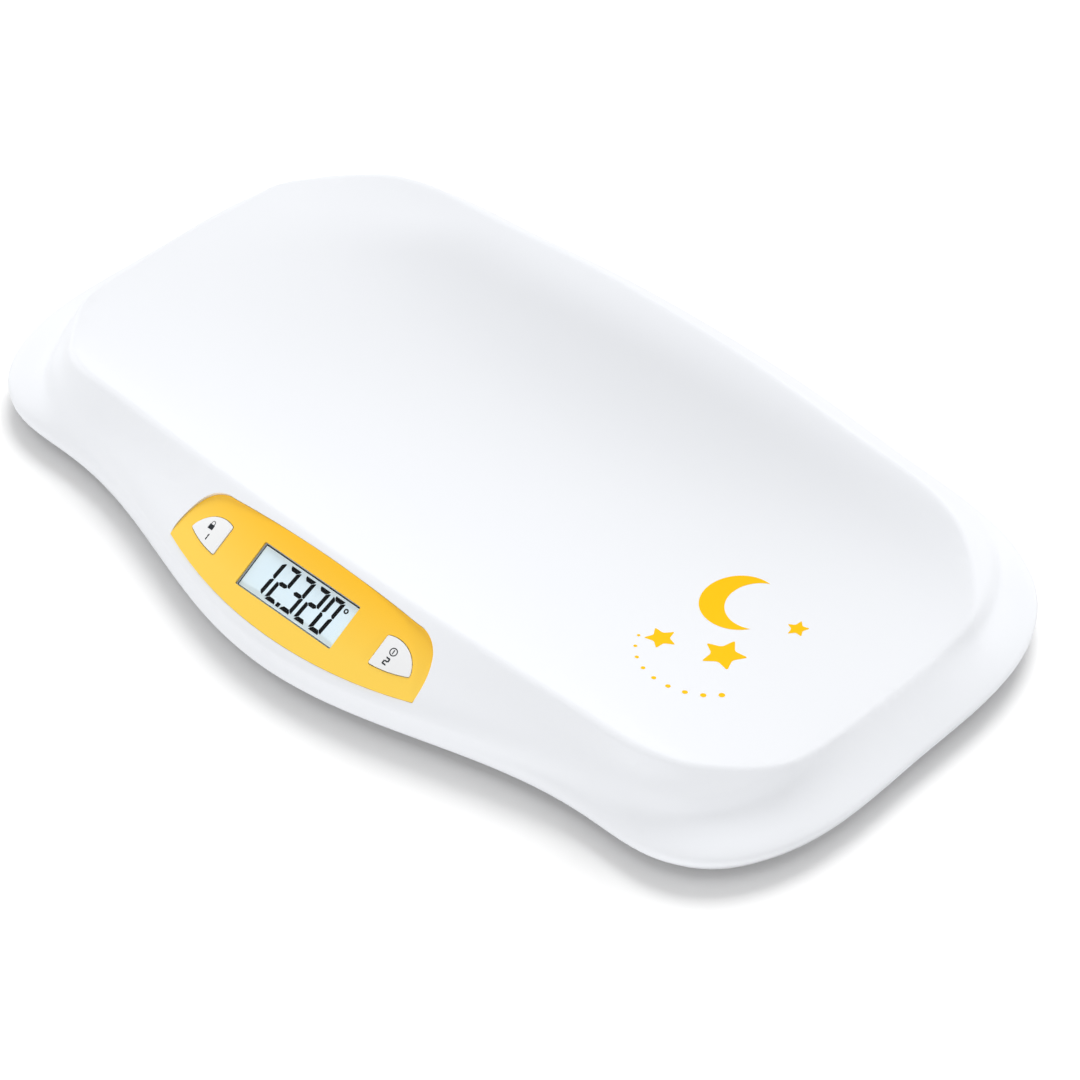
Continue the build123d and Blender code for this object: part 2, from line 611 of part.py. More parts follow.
with BuildPart() as battery_snap:
    with BuildSketch(Plane.YZ.offset(battery_x + BATTERY_LENGTH / 2 + TERMINAL_HEIGHT)):
        with Locations((BATTERY_Y, battery_middle_z)):
            RectangleRounded(SNAP_LENGTH, SNAP_WIDTH, 4.0)
    extrude(amount=SNAP_THICK)
export(battery_snap, "battery_snap")

with BuildPart() as battery_door:
    with BuildSketch(Plane.XY.offset(BASE_Z)):
        with Locations(BATTERY_PLACE):
            RectangleRounded(DOOR_LENGTH, DOOR_WIDTH, 1.0)
    extrude(amount=DOOR_THICK)
    with BuildSketch(Plane.XY.offset(BASE_Z + DOOR_THICK)):
        for line in TONGUE_LINES_Y:
            with Locations((BATTERY_X, BATTERY_Y + line)):
                Rectangle(DOOR_LENGTH + 2 * TONGUE_REACH, TONGUE_LENGTH)
    extrude(amount=LIP_Z + DOOR_GAP / 2 - BASE_Z - DOOR_THICK)
    with BuildSketch(Plane.XY.offset(BASE_Z)):
        with Locations(BATTERY_PLACE):
            with GridLocations(0, 3.0, 1, 5):
                SlotOverall(22.0, 1.2)
    extrude(amount=0.6, mode=Mode.SUBTRACT)
export(battery_door, "battery_door")
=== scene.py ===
"""Digital baby weighing scale: finishes, display reading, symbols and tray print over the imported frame.

Metres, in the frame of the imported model: +X along the tray, the display faces -Y, +Z up, floor at z = 0.
"""

import json
from math import acos, cos, pi, radians, sin, tau

import bmesh
import bpy
from mathutils import Matrix, Vector
from mathutils.bvhtree import BVHTree

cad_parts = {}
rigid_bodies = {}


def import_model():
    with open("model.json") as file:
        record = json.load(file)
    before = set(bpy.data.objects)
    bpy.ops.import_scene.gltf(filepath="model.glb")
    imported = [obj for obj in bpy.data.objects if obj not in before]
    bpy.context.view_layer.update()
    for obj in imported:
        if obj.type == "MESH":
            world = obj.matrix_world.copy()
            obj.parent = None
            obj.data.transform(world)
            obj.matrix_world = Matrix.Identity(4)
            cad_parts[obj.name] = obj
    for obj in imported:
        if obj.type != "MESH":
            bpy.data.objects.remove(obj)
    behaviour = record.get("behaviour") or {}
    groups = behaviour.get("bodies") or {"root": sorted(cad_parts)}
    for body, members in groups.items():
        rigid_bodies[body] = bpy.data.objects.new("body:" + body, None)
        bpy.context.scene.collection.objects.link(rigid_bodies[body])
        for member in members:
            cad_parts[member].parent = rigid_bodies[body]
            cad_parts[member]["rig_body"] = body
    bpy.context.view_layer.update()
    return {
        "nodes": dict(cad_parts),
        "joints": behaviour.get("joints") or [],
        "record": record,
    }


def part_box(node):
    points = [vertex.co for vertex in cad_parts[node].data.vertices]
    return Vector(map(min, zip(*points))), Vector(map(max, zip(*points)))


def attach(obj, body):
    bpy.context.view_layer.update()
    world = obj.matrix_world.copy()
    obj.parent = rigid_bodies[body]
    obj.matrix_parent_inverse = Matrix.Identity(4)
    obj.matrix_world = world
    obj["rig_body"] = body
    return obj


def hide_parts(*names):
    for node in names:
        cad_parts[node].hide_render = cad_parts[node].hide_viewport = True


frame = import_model()

MM = 0.001
WELD = 0.002 * MM           # vertices closer than this are one
SMOOTH_UP_TO = 32.0         # degrees: a sharper fold of a CAD node is a real edge
RAY_START = 50.0 * MM       # a print is dropped onto its surface from this far off
PATCH_MM = 45.0             # size of the patches in which a moulded gloss varies

# ---------------------------------------------------------------- places taken from the frame
NORMAL = -Vector(next(j["axis"] for j in frame["joints"] if j["name"] == "hold_button_press"))
NORMAL.normalize()
ALONG = Vector((1, 0, 0))
UPHILL = NORMAL.cross(ALONG)

# ---------------------------------------------------------------- display reading
READING = "12320"
POINT_AFTER = 1             # the decimal point stands after this digit, counted from 0
DIGIT_PITCH = 10.27 * MM
FIRST_DIGIT = -21.3 * MM
DIGIT_HALF_WIDTH = 3.0 * MM
DIGIT_HALF_HEIGHT = 9.25 * MM
STROKE = 2.25 * MM
STROKE_GAP = 0.16 * MM
SLANT = 0.09
UNIT_RING = (1.4 * MM, 0.6 * MM)
UNIT_PLACE = (27.2 * MM, 7.0 * MM)
LCD_THICK = 2.8 * MM
READING_LIFT = 0.01 * MM
GLASS_EDGE_SHADOWS = (             # painted shadow of the window's edge on the glass, wider at the top and left: place along, place up, width, height
    (0.0, 11.9, 66.0, 0.55), (0.0, -12.0, 66.0, 0.25), (-32.75, 0.0, 0.5, 23.8), (32.85, 0.0, 0.25, 23.8),
)
CORNER = -0.35              # keeps the digits' outer corners blunt; -1 would make them sharp
SEGMENTS = {                # ends in half sizes of the digit, how far each outer corner lies behind
    "a": ((-1, 1), (1, 1), (CORNER, CORNER)),
    "b": ((1, 1), (1, 0), (CORNER, 0)),
    "c": ((1, 0), (1, -1), (0, CORNER)),
    "d": ((1, -1), (-1, -1), (CORNER, CORNER)),
    "e": ((-1, -1), (-1, 0), (CORNER, 0)),
    "f": ((-1, 0), (-1, 1), (0, CORNER)),
    "g": ((-1, 0), (1, 0), (1, 1)),
}
LIT_SEGMENTS = {"0": "abcdef", "1": "bc", "2": "abdeg", "3": "abcdg"}

# ---------------------------------------------------------------- turned-up ends of the tray
TROUGH_Y = 6.0 * MM         # middle line of the lying area
TROUGH_FLOOR = 24.0 * MM
TROUGH_RADIUS = 275.0 * MM
END_RISE = 13.5 * MM        # the ends stand this much above the trough floor
END_SHIFT = 4.5 * MM        # and their rims this much further out
END_HALF_WIDTH = 105.0 * MM
CREASE_X = 247.0 * MM       # rim of the lying area at the middle of an end
CREASE_DRAWN_IN = 28.0 * MM  # how far the rim is drawn in at END_HALF_WIDTH
BRIM_X = 273.8 * MM         # edge of the brim at the middle of an end
BRIM_DRAWN_IN = 12.5 * MM
ROUNDING = 4                # power by which rim and brim are drawn in
SHIFT_POWER = 6             # a high one keeps the outward shift near the rim
SLOPE_POWER = 1.6           # how the rise dies out from the rim to the edge of the brim
SIDE_POWER = 1.4            # how it dies out towards the long sides
LIFTED_FROM = 14.0 * MM     # nothing moves below this height
LIFTED_FULLY = 19.0 * MM
FINE_CUT = 8.0 * MM         # larger triangles are cut to this step before they bend
TROUGH_HALF_WIDTH = 1.2 * END_HALF_WIDTH
FACET_DEPTH = 0.15 * MM     # cut points lie on chords, up to this far above the true trough

# ---------------------------------------------------------------- print on the tray
PRINT_THICK = 0.05 * MM
PRINT_LIFT = 0.01 * MM
PRINT_FACET = 2.0 * MM      # the print is cut this fine so that it follows the hollow
PRINT_FROM_Z = 40.0 * MM    # height from which the flat print is lowered onto the tray
MOON = (20 * MM, 17 * MM, 10 * MM)  # radius, radius of the bite and its offset
MOON_PLACE = (152 * MM, 10 * MM, 25)
STARS = (                   # name, radius, place and turn
    ("print_star_large", 12 * MM, (172 * MM, -24 * MM, 14)),
    ("print_star_middle", 8.5 * MM, (142 * MM, -36 * MM, -10)),
    ("print_star_small", 6 * MM, (186 * MM, 14 * MM, 22)),
)
STAR_WAIST = 0.5            # inner radius as a share of the outer one
STAR_ROUNDING = 0.12        # rounding of the tips, as such a share
DOTS = 9
DOT_ARC = (164, -28, 34)    # centre and radius of the dotted arc, in millimetres
DOTS_FROM = 205             # degrees
DOT_STEP = 15
SMALLEST_DOT = 0.9
DOT_GROWTH = 0.09           # each dot's radius is this much larger than the one before

# ---------------------------------------------------------------- symbols on the buttons
BUTTON_INK_LIFT = 0.004 * MM
SYMBOL_CUT = 0.8 * MM
LOCK_PLACE = (-66.2 * MM, 4.0 * MM)
LOCK_BODY = (3.4 * MM, 2.6 * MM)
LOCK_BOW = (1.25 * MM, 0.85 * MM)
LOCK_BOW_UP = 2.1 * MM      # centre of the bow above the centre of the body
LOCK_LEG = (0.4 * MM, 0.8 * MM)
LOCK_LEG_UP = 1.7 * MM
LOCK_LEG_ASIDE = 1.05 * MM
SWITCH_PLACE = (62.6 * MM, 4.4 * MM)
SWITCH_RING = (2.2 * MM, 1.62 * MM)
SWITCH_LINE = (0.58 * MM, 2.2 * MM)
NUMBER_X = {"1": -65.5 * MM, "2": 62.2 * MM}
NUMBER_Y = -1.2 * MM
NUMBER_HALF_SIZE = (1.05 * MM, 1.7 * MM)
NUMBER_STROKE = 0.75 * MM

# ---------------------------------------------------------------- camera and light
CAMERA_TARGET = Vector((35.9, -10.2, 10.0)) * MM
CAMERA_DISTANCE = 1968.6 * MM
CAMERA_AZIMUTH = 43.95
CAMERA_ELEVATION = 42.79
CAMERA_LENS = 130.0
CAMERA_CLIP = 20.0
FLOOR_HALF_SIZE = 6.0
SKY = 0.52                  # share of a white surface's brightness that comes from all round
FLOOR_GLOW = 0.10           # added to the floor for the camera alone, so that it stays plain white
SUNS = (                    # name, share faced square on, azimuth, elevation, softness
    ("soft_back_sun", 0.65, 212.0, 50.0, 36.0),
    ("low_front_fill", 0.38, 344.0, 1.5, 3.0),
    ("low_side_fill", 0.26, 90.0, 0.6, 1.5),
)


# ---------------------------------------------------------------- small helpers
def colour(code):
    """sRGB hex code to linear red, green, blue, alpha."""
    values = [int(code[i:i + 2], 16) / 255 for i in (1, 3, 5)]
    return (*[v / 12.92 if v <= 0.04045 else ((v + 0.055) / 1.055) ** 2.4 for v in values], 1.0)


def node(tree, kind, inputs=(), **settings):
    """Adds a shader node; inputs maps a socket to a value or to the output that feeds it."""
    new = tree.nodes.new(kind)
    for name, value in settings.items():
        setattr(new, name, value)
    for socket, value in dict(inputs).items():
        if isinstance(value, bpy.types.NodeSocket):
            tree.links.new(value, new.inputs[socket])
        else:
            new.inputs[socket].default_value = value
    return new


def per_metre(size_mm):
    """Texture scale that gives features of about this size."""
    return 1.0 / (size_mm * MM)


def new_material(name, **sockets):
    """Material with one Principled shader; returns it with its tree and shader."""
    material = bpy.data.materials.new(name)
    material.use_nodes = True
    tree = material.node_tree
    shader = tree.nodes["Principled BSDF"]
    for socket, value in sockets.items():
        shader.inputs[socket.replace("_", " ")].default_value = value
    return material, tree, shader


def mould_texture(tree, shader, grain_mm, depth_mm, rough):
    """Fine relief and patchy gloss of a moulded surface; rough holds the lowest and highest roughness."""
    place = node(tree, "ShaderNodeTexCoord").outputs["Object"]
    grain = node(tree, "ShaderNodeTexNoise", {"Vector": place, "Scale": per_metre(grain_mm), "Detail": 3.0})
    bump = node(
        tree, "ShaderNodeBump",
        {"Height": grain.outputs["Fac"], "Strength": 1.0, "Distance": depth_mm * MM},
    )
    tree.links.new(bump.outputs["Normal"], shader.inputs["Normal"])
    patches = node(tree, "ShaderNodeTexNoise", {"Vector": place, "Scale": per_metre(PATCH_MM), "Detail": 2.0})
    gloss = node(
        tree, "ShaderNodeMapRange",
        {
            "Value": patches.outputs["Fac"], "From Min": 0.0, "From Max": 1.0,
            "To Min": rough[0], "To Max": rough[1],
        },
    )
    tree.links.new(gloss.outputs["Result"], shader.inputs["Roughness"])
    return place


# ---------------------------------------------------------------- materials
def polished_white_abs():
    """ABS from a polished mould: bright, faintly cool white with a soft gloss and a trace of orange peel."""
    material, tree, shader = new_material("polished_white_abs", Base_Color=colour("#F0F2F6"), IOR=1.53)
    mould_texture(tree, shader, grain_mm=3.0, depth_mm=0.002, rough=(0.27, 0.31))
    return material


def textured_base_abs():
    """ABS from a spark-eroded mould: an even matt grain that hides scuffs under the scale.

    The real grain of about 0.2 mm is drawn three times as coarse, so that it shows.
    """
    material, tree, shader = new_material("textured_base_abs", Base_Color=colour("#E6E7EA"), IOR=1.53)
    mould_texture(tree, shader, grain_mm=0.6, depth_mm=0.02, rough=(0.5, 0.6))
    return material


def satin_button_abs():
    """Button caps of ABS, a shade warmer than the tray, with a fine grain drawn coarse enough to show."""
    material, tree, shader = new_material("satin_button_abs", Base_Color=colour("#F1F2F3"), IOR=1.53)
    mould_texture(tree, shader, grain_mm=0.8, depth_mm=0.003, rough=(0.30, 0.38))
    return material


def amber_fascia():
    """Printed polycarbonate sheet: amber that deepens towards the tray, under a satin face."""
    material, tree, shader = new_material("amber_fascia", IOR=1.58)
    place = mould_texture(tree, shader, grain_mm=0.7, depth_mm=0.002, rough=(0.26, 0.34))
    low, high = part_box("control_panel")
    slope = node(tree, "ShaderNodeSeparateXYZ", {"Vector": place}).outputs["Z"]
    share = node(
        tree, "ShaderNodeMapRange",
        {"Value": slope, "From Min": low.z, "From Max": high.z, "To Min": 0.0, "To Max": 1.0},
    ).outputs["Result"]
    ramp = node(tree, "ShaderNodeValToRGB", {"Fac": share})
    ramp.color_ramp.elements[0].position = 0.25
    ramp.color_ramp.elements[0].color = colour("#FFD34C")
    ramp.color_ramp.elements[1].position = 0.95
    ramp.color_ramp.elements[1].color = colour("#FFC30A")
    tree.links.new(ramp.outputs["Color"], shader.inputs["Base Color"])
    return material


def clear_lens():
    """Clear acrylic: nearly invisible, with the sharp reflections of a polished pane."""
    tint = colour("#343C42")
    material, tree, shader = new_material("clear_lens", Base_Color=tint, Roughness=0.06, IOR=1.49)
    place = node(tree, "ShaderNodeTexCoord").outputs["Object"]
    film = node(tree, "ShaderNodeTexNoise", {"Vector": place, "Scale": per_metre(14), "Detail": 2.0})
    veil = node(
        tree, "ShaderNodeMapRange",
        {"Value": film.outputs["Fac"], "To Min": 0.015, "To Max": 0.03},
    )
    tree.links.new(veil.outputs["Result"], shader.inputs["Alpha"])
    return material


def reflective_lcd():
    """Liquid-crystal glass: pale and cool from the film behind it, with a silky polariser grain.

    The faint glow is painted light that brightens the glass, which lies shaded in its recess.
    """
    # painted light: a faint pale blue glow, though the glass is no lamp
    painted_glow = colour("#B4DCFF")
    material, tree, shader = new_material("reflective_lcd", Roughness=0.35, IOR=1.5, Emission_Color=painted_glow)
    shader.inputs["Emission Strength"].default_value = 0.13
    place = node(tree, "ShaderNodeTexCoord").outputs["Object"]
    grain = node(tree, "ShaderNodeTexNoise", {"Vector": place, "Scale": per_metre(0.35), "Detail": 2.0})
    ramp = node(tree, "ShaderNodeValToRGB", {"Fac": grain.outputs["Fac"]})
    ramp.color_ramp.elements[0].color = colour("#DDEEF6")
    ramp.color_ramp.elements[1].color = colour("#E8F7FC")
    tree.links.new(ramp.outputs["Color"], shader.inputs["Base Color"])
    return material


def lcd_black():
    """Switched segments: the near-black of crossed polarisers, as smooth as the glass."""
    material, tree, shader = new_material("lcd_black", Base_Color=colour("#08090B"), IOR=1.2)
    mould_texture(tree, shader, grain_mm=0.3, depth_mm=0.0005, rough=(0.32, 0.38))
    return material


def screen_ink(name, code):
    """Screen-printed ink: flat, thin and a little less glossy than the plastic that it lies on."""
    material, tree, shader = new_material(name, Base_Color=colour(code), IOR=1.25)
    mould_texture(tree, shader, grain_mm=0.4, depth_mm=0.002, rough=(0.40, 0.48))
    return material


def moulded_plastic(name, code, roughness):
    """Plain moulded part inside the housing, matt from its tool."""
    material, tree, shader = new_material(name, Base_Color=colour(code), IOR=1.5)
    mould_texture(tree, shader, grain_mm=0.8, depth_mm=0.01, rough=(roughness - 0.05, roughness + 0.05))
    return material


def nitrile_rubber():
    """Moulded rubber: dark, matt and finely pitted, the pits drawn at 0.5 mm so that they show."""
    material, tree, shader = new_material("nitrile_rubber", Base_Color=colour("#2B2C2E"), IOR=1.52)
    mould_texture(tree, shader, grain_mm=0.5, depth_mm=0.03, rough=(0.7, 0.85))
    return material


def bright_metal(name, code, grain_mm, rough):
    """Plated or rolled steel with fine working marks."""
    material, tree, shader = new_material(name, Base_Color=colour(code), Metallic=1.0)
    mould_texture(tree, shader, grain_mm, depth_mm=0.004, rough=rough)
    return material


def circuit_board():
    """Glass-fibre laminate under green solder resist, with its copper tracks showing through."""
    material, tree, shader = new_material("circuit_board", IOR=1.5)
    place = mould_texture(tree, shader, grain_mm=0.6, depth_mm=0.004, rough=(0.3, 0.4))
    tracks = node(
        tree, "ShaderNodeTexVoronoi",
        {"Vector": place, "Scale": per_metre(3.0)},
        feature="DISTANCE_TO_EDGE", distance="MANHATTAN",
    )
    ramp = node(tree, "ShaderNodeValToRGB", {"Fac": tracks.outputs["Distance"]})
    ramp.color_ramp.elements[0].position = 0.08
    ramp.color_ramp.elements[0].color = colour("#1F7A45")
    ramp.color_ramp.elements[1].position = 0.12
    ramp.color_ramp.elements[1].color = colour("#125232")
    tree.links.new(ramp.outputs["Color"], shader.inputs["Base Color"])
    return material


FINISHES = {
    "white_abs": polished_white_abs(),
    "base_abs": textured_base_abs(),
    "button_abs": satin_button_abs(),
    "amber_fascia": amber_fascia(),
    "clear_lens": clear_lens(),
    "lcd_glass": reflective_lcd(),
    "frame_plastic": moulded_plastic("natural_pom", "#E4E4E0", 0.5),
    "elastomer": moulded_plastic("striped_elastomer", "#3A3A3C", 0.7),
    "rubber_pad": nitrile_rubber(),
    "foot_plastic": moulded_plastic("grey_nylon", "#D3D5D8", 0.55),
    "cell_steel": bright_metal("rolled_spring_steel", "#B9BABD", grain_mm=1.2, rough=(0.3, 0.4)),
    "screw_steel": bright_metal("zinc_plate", "#C9CBCE", grain_mm=0.8, rough=(0.25, 0.35)),
    "board": circuit_board(),
    "switch_plastic": moulded_plastic("black_nylon", "#1D1D1F", 0.5),
    "battery_can": moulded_plastic("lacquered_can", "#2A2C30", 0.3),
    "snap_plastic": moulded_plastic("black_vinyl", "#161617", 0.6),
}
SLOTS = {part["node"]: part["material_slot"] for part in frame["record"]["subparts"]}


# ---------------------------------------------------------------- turning shapes into pieces
def finished(shape, name, material, body):
    """Turns a bmesh into a piece that rides on a body."""
    mesh = bpy.data.meshes.new(name)
    shape.to_mesh(mesh)
    shape.free()
    mesh.materials.append(material)
    piece = bpy.data.objects.new(name, mesh)
    bpy.context.scene.collection.objects.link(piece)
    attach(piece, body)
    return piece


def merged_shape(name):
    """A CAD node's mesh with its loose triangles joined."""
    shape = bmesh.new()
    shape.from_mesh(frame["nodes"][name].data)
    bmesh.ops.remove_doubles(shape, verts=shape.verts, dist=WELD)
    return shape


def dressed(name, piece_name, shape=None):
    """Merged copy of a CAD node, shaded smooth between its real edges, that replaces it."""
    shape = shape or merged_shape(name)
    for face in shape.faces:
        face.smooth = True
    for edge in shape.edges:
        edge.smooth = edge.is_manifold and edge.calc_face_angle() < radians(SMOOTH_UP_TO)
    slot = SLOTS[name]
    piece = finished(shape, piece_name, FINISHES[slot], frame["nodes"][name]["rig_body"])
    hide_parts(name)


def triangulated(shape):
    bmesh.ops.triangulate(shape, faces=shape.faces)
    return shape


def cutting_planes(shape, axis, step):
    """Normal and places of evenly spaced planes across an axis of a shape."""
    low = min(v.co[axis] for v in shape.verts)
    high = max(v.co[axis] for v in shape.verts)
    normal = Vector([1.0 if i == axis else 0.0 for i in range(3)])
    return normal, [normal * (low + i * step) for i in range(1, int((high - low) / step) + 1)]


def cut_fine(shape, step, axis):
    """Cuts a flat shape by planes across an axis, so that it can follow a hollow."""
    normal, places = cutting_planes(shape, axis, step)
    for place in places:
        everything = shape.verts[:] + shape.edges[:] + shape.faces[:]
        bmesh.ops.bisect_plane(shape, geom=everything, plane_co=place, plane_no=normal)


def cut_region(shape, region, step):
    """Cuts a part of a mesh by planes across X and then across Y."""
    for axis in (0, 1):
        normal, places = cutting_planes(shape, axis, step)
        for place in places:
            region = bmesh.ops.bisect_plane(shape, geom=region, plane_co=place, plane_no=normal)["geom"]


def turned_up(place):
    """Where a point of the straight trough lies once the ends of the lying area are turned up."""
    x, y, z = place
    across = abs(y - TROUGH_Y) / END_HALF_WIDTH
    if across >= 1 or z <= LIFTED_FROM:
        return place
    crease = CREASE_X - CREASE_DRAWN_IN * across**ROUNDING
    brim = BRIM_X - BRIM_DRAWN_IN * across**ROUNDING
    reach = abs(x)
    if reach < crease:
        share = (reach / crease) ** 2
        pull = (reach / crease) ** SHIFT_POWER
    else:
        pull = max(0.0, 1 - (reach - crease) / (brim - crease))
        share = pull**SLOPE_POWER
    strength = (1 - across**2) ** SIDE_POWER
    free = min(1.0, (z - LIFTED_FROM) / (LIFTED_FULLY - LIFTED_FROM))
    outward = END_SHIFT * min(1.0, 2 * strength) * pull * free
    return Vector((x + (outward if x > 0 else -outward), y, z + END_RISE * strength * share * free))


def dished_tray():
    """The tray with the smooth trough cut fine and its two ends turned up."""
    shape = merged_shape("top_shell")
    wide = [f for f in shape.faces if max(e.calc_length() for e in f.edges) > FINE_CUT]
    region = set(wide)
    for face in wide:
        region.update(face.edges)
        region.update(face.verts)
    cut_region(shape, list(region), FINE_CUT)
    bmesh.ops.triangulate(shape, faces=[f for f in shape.faces if len(f.verts) > 3])
    for vertex in shape.verts:
        y = vertex.co.y - TROUGH_Y
        if abs(y) < TROUGH_HALF_WIDTH:
            trough = TROUGH_FLOOR + TROUGH_RADIUS - (TROUGH_RADIUS**2 - y**2) ** 0.5
            if 0 < vertex.co.z - trough < FACET_DEPTH:
                vertex.co.z = trough
        vertex.co = turned_up(vertex.co)
    return shape


def lay_on(shape, target, towards, lift):
    """Moves each vertex along a direction onto the target surface, then lifts it off by a hair."""
    surface = BVHTree.FromBMesh(target)
    for vertex in shape.verts:
        hit = surface.ray_cast(vertex.co - towards * RAY_START, towards)[0]
        vertex.co = hit - towards * lift


def inked(shape, name, material, body):
    """Printed piece: the laid shape with the thickness of a coat of ink."""
    piece = finished(shape, name, material, body)
    coat = piece.modifiers.new("coat", "SOLIDIFY")
    coat.thickness = PRINT_THICK
    coat.offset = 1.0


# ---------------------------------------------------------------- flat outlines
def outline_face(points):
    shape = bmesh.new()
    shape.faces.new([shape.verts.new((x, y, 0.0)) for x, y in points])
    return shape


def arc(centre, radius, start, end, count):
    """Points along an arc, angles in radians."""
    turns = [start + (end - start) * i / count for i in range(count + 1)]
    return [(centre[0] + radius * cos(t), centre[1] + radius * sin(t)) for t in turns]


def crescent(radius, bite, offset):
    """Moon: a disc with a smaller disc taken out of its side."""
    reach = (radius**2 - bite**2 + offset**2) / (2 * offset)
    outer = acos(reach / radius)
    inner = acos((reach - offset) / bite)
    points = arc((0, 0), radius, outer, tau - outer, 40)
    points += arc((offset, 0), bite, -inner, inner - tau, 32)[1:-1]
    return outline_face(points)


def star(radius):
    """Five points with rounded tips."""
    points = []
    for i in range(10):
        reach = radius if i % 2 == 0 else radius * STAR_WAIST
        turn = pi / 2 + i * tau / 10
        points.append((reach * cos(turn), reach * sin(turn)))
    shape = outline_face(points)
    bmesh.ops.bevel(
        shape, geom=shape.verts[:], offset=radius * STAR_ROUNDING, segments=3, profile=0.5,
        affect="VERTICES", material=-1,
    )
    return shape


def disc(radius):
    shape = bmesh.new()
    bmesh.ops.create_circle(shape, cap_ends=True, segments=24, radius=radius)
    return shape


def ring(outer, inner):
    shape = bmesh.new()
    bmesh.ops.create_circle(shape, segments=40, radius=outer)
    bmesh.ops.create_circle(shape, segments=40, radius=inner)
    bmesh.ops.bridge_loops(shape, edges=shape.edges[:])
    return shape


def plate(width, height):
    x, y = width / 2, height / 2
    return outline_face([(-x, -y), (x, -y), (x, y), (-x, y)])


def bar(start, end, width, gap, set_back):
    """Display segment with its outer side on the left of the way from start to end.

    The outer corners lie set_back half widths behind the tips, the inner ones one half width.
    """
    run = (end - start).normalized()
    side = Vector((-run.y, run.x)) * width / 2
    sides = []
    for tip, inward, back in ((start, run, set_back[0]), (end, -run, set_back[1])):
        tip = tip + inward * gap
        sides.append([tip + inward * back * width / 2 + side, tip, tip + inward * width / 2 - side])
    return sides[0] + sides[1][::-1]


def joined(shapes, name):
    """One bmesh out of several, each moved by its matrix."""
    whole = bmesh.new()
    for shape, matrix in shapes:
        bmesh.ops.transform(shape, matrix=matrix, verts=shape.verts)
        part = bpy.data.meshes.new(name)
        shape.to_mesh(part)
        shape.free()
        whole.from_mesh(part)
        bpy.data.meshes.remove(part)
    return whole


def place_at(x, y, turn=0.0):
    return Matrix.Translation((x, y, 0.0)) @ Matrix.Rotation(radians(turn), 4, "Z")


def panel_matrix(origin):
    """Turns the flat XY plane into the slope of the panel, centred on origin."""
    turn = Matrix((ALONG, UPHILL, NORMAL)).transposed().to_4x4()
    return Matrix.Translation(origin) @ turn


# ---------------------------------------------------------------- pieces that follow the CAD nodes
tray_shape = dished_tray()
tray_surface = tray_shape.copy()
dressed("top_shell", "tray", tray_shape)
dressed("control_panel", "fascia")
dressed("display_lens", "lens")
dressed("hold_button", "hold_cap")
dressed("tare_button", "tare_cap")
dressed("base_shell", "base")
dressed("battery_door", "door")
for corner in ("front_left", "front_right", "rear_left", "rear_right"):
    dressed(f"foot_{corner}", f"foot_cup_{corner}")
    dressed(f"foot_pad_{corner}", f"foot_sole_{corner}")

for name, part in frame["nodes"].items():
    part.data.materials.clear()
    part.data.materials.append(FINISHES[SLOTS[name]])


# ---------------------------------------------------------------- display reading
def seven_segments(digit, w, h, stroke, gap, matrix):
    """Lit bars of one digit, w and h being half its width and height."""
    shapes = []
    for segment in LIT_SEGMENTS[digit]:
        start, end, set_back = SEGMENTS[segment]
        start = Vector((start[0] * w, start[1] * h))
        end = Vector((end[0] * w, end[1] * h))
        shapes.append((outline_face(bar(start, end, stroke, gap, set_back)), matrix))
    return shapes


def display_reading():
    low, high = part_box("lcd_module")
    face = (low + high) / 2 + NORMAL * LCD_THICK / 2
    w, h = DIGIT_HALF_WIDTH, DIGIT_HALF_HEIGHT
    lean = Matrix(((1, SLANT, 0, 0), (0, 1, 0, 0), (0, 0, 1, 0), (0, 0, 0, 1)))
    shapes = []
    for place, digit in enumerate(READING):
        x = FIRST_DIGIT + place * DIGIT_PITCH
        shapes += seven_segments(digit, w, h, STROKE, STROKE_GAP, place_at(x, 0) @ lean)
        if place == POINT_AFTER:
            shapes.append((plate(STROKE, STROKE), place_at(x + DIGIT_PITCH / 2, 0) @ lean @ place_at(0, -h)))
    shapes.append((ring(*UNIT_RING), place_at(*UNIT_PLACE)))
    # dark lines of painted shadow where the window's edge shades the glass
    for along, up, width, height in GLASS_EDGE_SHADOWS:
        shapes.append((plate(width * MM, height * MM), place_at(along * MM, up * MM)))
    reading = joined(shapes, "reading")
    bmesh.ops.transform(reading, matrix=panel_matrix(face + NORMAL * READING_LIFT), verts=reading.verts)
    # the reading piece also carries the painted edge shadows, in the black of the segments
    inked(reading, "reading", lcd_black(), "housing")


display_reading()


# ---------------------------------------------------------------- symbols on the buttons
def symbol(shapes, name, button, body):
    """Prints a small flat drawing on the pressed face of a button."""
    drawing = triangulated(joined(shapes, name))
    cut_fine(drawing, SYMBOL_CUT, 0)
    low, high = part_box("control_panel")
    bmesh.ops.transform(drawing, matrix=panel_matrix((low + high) / 2), verts=drawing.verts)
    cap = merged_shape(button)
    lay_on(drawing, cap, -NORMAL, BUTTON_INK_LIFT)
    cap.free()
    inked(drawing, name, screen_ink(f"{name}_ink", "#2B2F34"), body)


def padlock():
    bow = ring(*LOCK_BOW)
    bmesh.ops.bisect_plane(
        bow, geom=bow.verts[:] + bow.edges[:] + bow.faces[:], plane_co=(0, 0, 0), plane_no=(0, 1, 0),
        clear_inner=True,
    )
    x, y = LOCK_PLACE
    return [
        (plate(*LOCK_BODY), place_at(x, y)),
        (bow, place_at(x, y + LOCK_BOW_UP)),
        (plate(*LOCK_LEG), place_at(x - LOCK_LEG_ASIDE, y + LOCK_LEG_UP)),
        (plate(*LOCK_LEG), place_at(x + LOCK_LEG_ASIDE, y + LOCK_LEG_UP)),
    ]


def switch_mark():
    place = place_at(*SWITCH_PLACE)
    return [(ring(*SWITCH_RING), place), (plate(*SWITCH_LINE), place)]


def number(digit):
    w, h = NUMBER_HALF_SIZE
    return seven_segments(digit, w, h, NUMBER_STROKE, 0.0, place_at(NUMBER_X[digit], NUMBER_Y))


